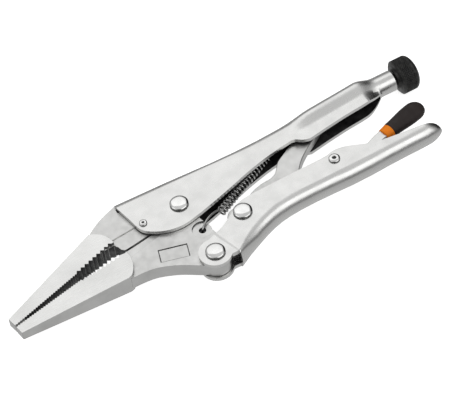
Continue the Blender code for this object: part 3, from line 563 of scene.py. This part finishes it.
def dipped(name, node, finish, sections):
    """A dipped skin through oval sections of (distance, half height, half thickness)."""
    steps = 56
    ahead = Vector((math.cos(GRIP_BEARING), math.sin(GRIP_BEARING), 0.0))
    side = Vector((-math.sin(GRIP_BEARING), math.cos(GRIP_BEARING), 0.0))
    edit = bmesh.new()
    rows = []
    for distance, half_height, half_thick in sections:
        row = []
        for step in range(steps):
            angle = math.tau * step / steps
            place = (band_front + ahead * distance + side * (half_height * math.cos(angle))
                     + Vector((0.0, 0.0, half_thick * math.sin(angle))))
            row.append(edit.verts.new(place))
        rows.append(row)
    for row, following in zip(rows, rows[1:]):
        for step in range(steps):
            after = (step + 1) % steps
            edit.faces.new((row[step], row[after], following[after], following[step]))
    edit.faces.new(rows[0])
    edit.faces.new(rows[-1])
    bmesh.ops.recalc_face_normals(edit, faces=edit.faces)
    mesh = bpy.data.meshes.new(name)
    edit.to_mesh(mesh)
    edit.free()
    mesh.shade_smooth()
    piece(name, mesh, node, [finish])


def eased(value):
    """Runs from 0 to 1 with a soft start and end."""
    return value * value * (3 - 2 * value)


def grip():
    """The orange band, and the dark grip that swells towards its rounded end."""
    band = [(0.0, 2.75 * MM, 2.2 * MM), (0.06 * MM, 3.0 * MM, 2.45 * MM), (0.3 * MM, 3.25 * MM, 2.7 * MM)]
    steps = 6
    for step in range(1, steps + 1):
        share = step / steps
        band.append((0.3 * MM + (BAND_LENGTH + DIP_GAP - 0.25 * MM) * share, (3.25 + 0.45 * share) * MM,
                     (2.7 + 0.3 * share) * MM))
    dipped("orange_band", "lever_grip_band", ORANGE, band)

    front = BAND_LENGTH + DIP_GAP
    rounding = 5.6 * MM
    widest = GRIP_LENGTH - rounding
    skin = [(front, 3.65 * MM, 2.95 * MM), (front + 0.1 * MM, 3.8 * MM, 3.05 * MM)]
    steps = 14
    for step in range(1, steps + 1):
        share = step / steps
        skin.append((front + widest * share, (3.85 + 1.15 * eased(min(1.0, share * 1.15))) * MM,
                     (3.1 + 0.1 * share) * MM))
    steps = 16
    for step in range(1, steps + 1):
        angle = math.pi / 2 * step / steps
        share = max(math.cos(angle), 0.02) ** 0.92
        skin.append((front + widest + rounding * math.sin(angle), 5.0 * MM * share, 3.2 * MM * share))
    dipped("dark_grip", "lever_grip", VINYL, skin)


# ---------------------------------------------------------------- return spring

def return_spring():
    """The spring's fine wire, with its front hook in the moving jaw and its rear end in the handle's lug."""
    wire_radius = 0.45 * MM
    coil_radius = 2.15 * MM
    turns = 19
    per_turn = 20
    hole = MAIN_PIVOT + SPRING_HOLE.to_3d()
    start = MAIN_PIVOT + Vector((14.9, -10.2, 0.0)) * MM
    end = MAIN_PIVOT + Vector((48.6, 6.9, 0.0)) * MM
    anchor = MAIN_PIVOT + Vector((55.5, 10.4, 0.0)) * MM
    over_jaw = 3.5 * MM
    up = Vector((0.0, 0.0, 1.0))
    ahead = (end - start).normalized()
    side = up.cross(ahead)

    hook = [hole - up * 1.1 * MM, hole + up * 1.9 * MM,
            hole + Vector((0.7 * MM, 0.6 * MM, over_jaw)),
            hole + Vector((4.6 * MM, 3.6 * MM, over_jaw + 0.4 * MM)),
            start + Vector((-3.6 * MM, -1.0 * MM, over_jaw - 0.3 * MM))]
    coil = []
    for step in range(turns * per_turn + 1):
        angle = math.tau * step / per_turn + math.pi / 2
        coil.append(start + (end - start) * step / (turns * per_turn)
                    + side * coil_radius * math.cos(angle) + up * coil_radius * math.sin(angle))
    lug_side = 1.75 * MM
    tail = [end + Vector((1.8 * MM, 0.9 * MM, lug_side + 0.3 * MM)),
            anchor + Vector((-1.2 * MM, -0.6 * MM, lug_side)),
            anchor + Vector((-0.1 * MM, 0.0, 0.6 * lug_side)), anchor - up * lug_side]

    curve = bpy.data.curves.new("return_spring_wire", "CURVE")
    curve.dimensions = "3D"
    curve.bevel_depth = wire_radius
    curve.bevel_resolution = 3
    curve.use_fill_caps = True
    spline = curve.splines.new("POLY")
    route = rounded(hook + coil[:1])[:-1] + coil + rounded(coil[-1:] + tail)[1:]
    spline.points.add(len(route) - 1)
    for point, place in zip(spline.points, route):
        point.co = (*place, 1.0)
    draft = bpy.data.objects.new("draft", curve)
    bpy.context.scene.collection.objects.link(draft)
    mesh = bpy.data.meshes.new_from_object(draft.evaluated_get(bpy.context.evaluated_depsgraph_get()))
    bpy.data.objects.remove(draft)
    mesh.materials.clear()
    mesh.materials.append(SPRING)
    mesh.shade_smooth()
    made = bpy.data.objects.new("spring_wire", mesh)
    bpy.context.scene.collection.objects.link(made)
    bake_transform(made)
    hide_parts("return_spring")


def rounded(points, steps=6):
    """A smooth run (Catmull-Rom) through the points, ends included."""
    padded = [points[0]] + list(points) + [points[-1]]
    run = []
    for index in range(1, len(padded) - 2):
        before, start, end, after = padded[index - 1:index + 3]
        for step in range(steps):
            t = step / steps
            run.append(0.5 * (2 * start + (end - before) * t
                              + (2 * before - 5 * start + 4 * end - after) * t ** 2
                              + (3 * start - before - 3 * end + after) * t ** 3))
    run.append(points[-1])
    return run


# ---------------------------------------------------------------- carried-over CAD pieces

def repaint():
    """The small hidden pieces keep their CAD shapes and take the new materials."""
    finishes = {"nickel": NICKEL, "blackened_steel": BLACK}
    slots = {entry["node"]: entry["material_slot"] for entry in frame["record"]["subparts"]}
    for node in ("link_washer_near", "link_washer_far", "lever_spacer_near", "lever_spacer_far", "screw_tip"):
        for material_slot in frame["nodes"][node].material_slots:
            material_slot.link = "OBJECT"
            material_slot.material = finishes[slots[node]]


# ---------------------------------------------------------------- floor, light and camera

def floor():
    """A plain pale floor that glows enough to stay white under the tool, and is kept out of reflections."""
    finish = Finish("pale_floor", (0.9, 0.9, 0.9), 0.9)
    finish.tint(finish.noise(0.4, 2.0), (0.88, 0.88, 0.88), (0.92, 0.92, 0.92))
    finish.shader.inputs["Specular IOR Level"].default_value = 0.1
    finish.shader.inputs["Emission Color"].default_value = (1.0, 1.0, 1.0, 1.0)
    finish.shader.inputs["Emission Strength"].default_value = 0.8
    half_size = 3.0
    drop = 0.4 * MM
    mesh = bpy.data.meshes.new("pale_floor")
    edit = bmesh.new()
    bmesh.ops.create_grid(edit, x_segments=1, y_segments=1, size=half_size)
    edit.to_mesh(mesh)
    edit.free()
    mesh.materials.append(finish.material)
    made = bpy.data.objects.new("pale_floor", mesh)
    made.location = (0.0, 0.0, -drop)
    made.visible_glossy = False
    bpy.context.scene.collection.objects.link(made)


def area_light(name, place, width, height, power):
    """A softbox that points at the tool; place in metres, power in watts."""
    lamp = bpy.data.lights.new(name, "AREA")
    lamp.shape = "RECTANGLE"
    lamp.size = width
    lamp.size_y = height
    lamp.energy = power
    made = bpy.data.objects.new(name, lamp)
    made.location = place
    made.rotation_euler = (-Vector(place)).to_track_quat("-Z", "Y").to_euler()
    bpy.context.scene.collection.objects.link(made)


# The sky's brightness from straight down (0) through the horizon (0.5) to straight up (1)
SKY_LEVELS = ((0.0, 0.85), (0.42, 0.72), (0.48, 0.26), (0.54, 0.26), (0.62, 0.5), (0.8, 0.75),
              (0.92, 1.0))
SKY_STRENGTH = 0.75
# Where each black flag stands, the cosines at its soft edge and its middle, and the share of light it leaves
BLACK_FLAGS = (((0.85, 0.35, 0.2), 0.75, 0.92, 0.03), ((-0.42, -0.66, 0.6), 0.91, 0.965, 0.05))


def sky():
    """Bright overhead, dim at the horizon, and black at the flags, so that curved metal shows its shape."""
    world = bpy.data.worlds.new("studio")
    bpy.context.scene.world = world
    world.use_nodes = True
    tree = world.node_tree
    place = tree.nodes.new("ShaderNodeTexCoord").outputs["Generated"]
    split = tree.nodes.new("ShaderNodeSeparateXYZ")
    ramp = tree.nodes.new("ShaderNodeValToRGB")
    tree.links.new(place, split.inputs["Vector"])
    elements = ramp.color_ramp.elements
    while len(elements) < len(SKY_LEVELS):
        elements.new(0.5)
    for element, (position, level) in zip(elements, SKY_LEVELS):
        element.position = position
        element.color = (level, level, level, 1.0)
    half = tree.nodes.new("ShaderNodeMapRange")
    half.inputs["From Min"].default_value = -1.0
    tree.links.new(split.outputs["Z"], half.inputs["Value"])
    tree.links.new(half.outputs["Result"], ramp.inputs["Fac"])
    light = ramp.outputs["Color"]
    for direction, edge, middle, dark in BLACK_FLAGS:
        toward = tree.nodes.new("ShaderNodeVectorMath")
        toward.operation = "DOT_PRODUCT"
        toward.inputs[1].default_value = Vector(direction).normalized()
        tree.links.new(place, toward.inputs[0])
        flag = tree.nodes.new("ShaderNodeMapRange")
        flag.inputs["From Min"].default_value = edge
        flag.inputs["From Max"].default_value = middle
        flag.inputs["To Min"].default_value = 1.0
        flag.inputs["To Max"].default_value = dark
        tree.links.new(toward.outputs["Value"], flag.inputs["Value"])
        shaded = tree.nodes.new("ShaderNodeVectorMath")
        shaded.operation = "SCALE"
        tree.links.new(light, shaded.inputs[0])
        tree.links.new(flag.outputs["Result"], shaded.inputs["Scale"])
        light = shaded.outputs["Vector"]
    tree.links.new(light, tree.nodes["Background"].inputs["Color"])
    tree.nodes["Background"].inputs["Strength"].default_value = SKY_STRENGTH


def studio():
    """A pale floor, a graded sky and three softboxes."""
    floor()
    sky()
    area_light("back_softbox", (0.25, 0.75, 0.85), 1.1, 0.7, 1.4)
    area_light("left_softbox", (-0.8, 0.1, 0.6), 0.6, 0.6, 0.8)
    area_light("key_softbox", (0.45, -0.85, 0.8), 1.2, 0.8, 3.0)
    bpy.context.scene.view_settings.view_transform = "Standard"


CAMERA_TILT = math.radians(40.0)
CAMERA_HEADING = math.radians(22.3)
CAMERA_ROLL = math.radians(9.0)
CAMERA_DISTANCE = 1.0
SENSOR_WIDTH = 36.0
SPAN_ACROSS = 202.06 * MM
VIEW_CENTRE = (20.02 * MM, -5.23 * MM, 0.0)


def camera():
    """Looks down on the tool from its jaw side and lower handle."""
    flat = Vector((math.sin(CAMERA_HEADING), math.cos(CAMERA_HEADING), 0.0))
    look = flat * math.sin(CAMERA_TILT) - Vector((0.0, 0.0, 1.0)) * math.cos(CAMERA_TILT)
    level = Vector((math.cos(CAMERA_HEADING), -math.sin(CAMERA_HEADING), 0.0))
    top = level.cross(look)
    right = math.cos(CAMERA_ROLL) * level - math.sin(CAMERA_ROLL) * top
    up = math.sin(CAMERA_ROLL) * level + math.cos(CAMERA_ROLL) * top
    lens = bpy.data.cameras.new("photo_camera")
    lens.sensor_width = SENSOR_WIDTH
    lens.lens = SENSOR_WIDTH * CAMERA_DISTANCE / SPAN_ACROSS
    lens.clip_start = 0.01
    made = bpy.data.objects.new("photo_camera", lens)
    bpy.context.scene.collection.objects.link(made)
    centre = MAIN_PIVOT + Vector(VIEW_CENTRE)
    turn = Matrix((right, up, -look)).transposed().to_4x4()
    made.matrix_world = Matrix.Translation(centre - look * CAMERA_DISTANCE) @ turn
    bpy.context.scene.camera = made


camera()
steel_parts()
rivets()
threaded_rod()
knurled_knob()
grip()
return_spring()
repaint()
studio()
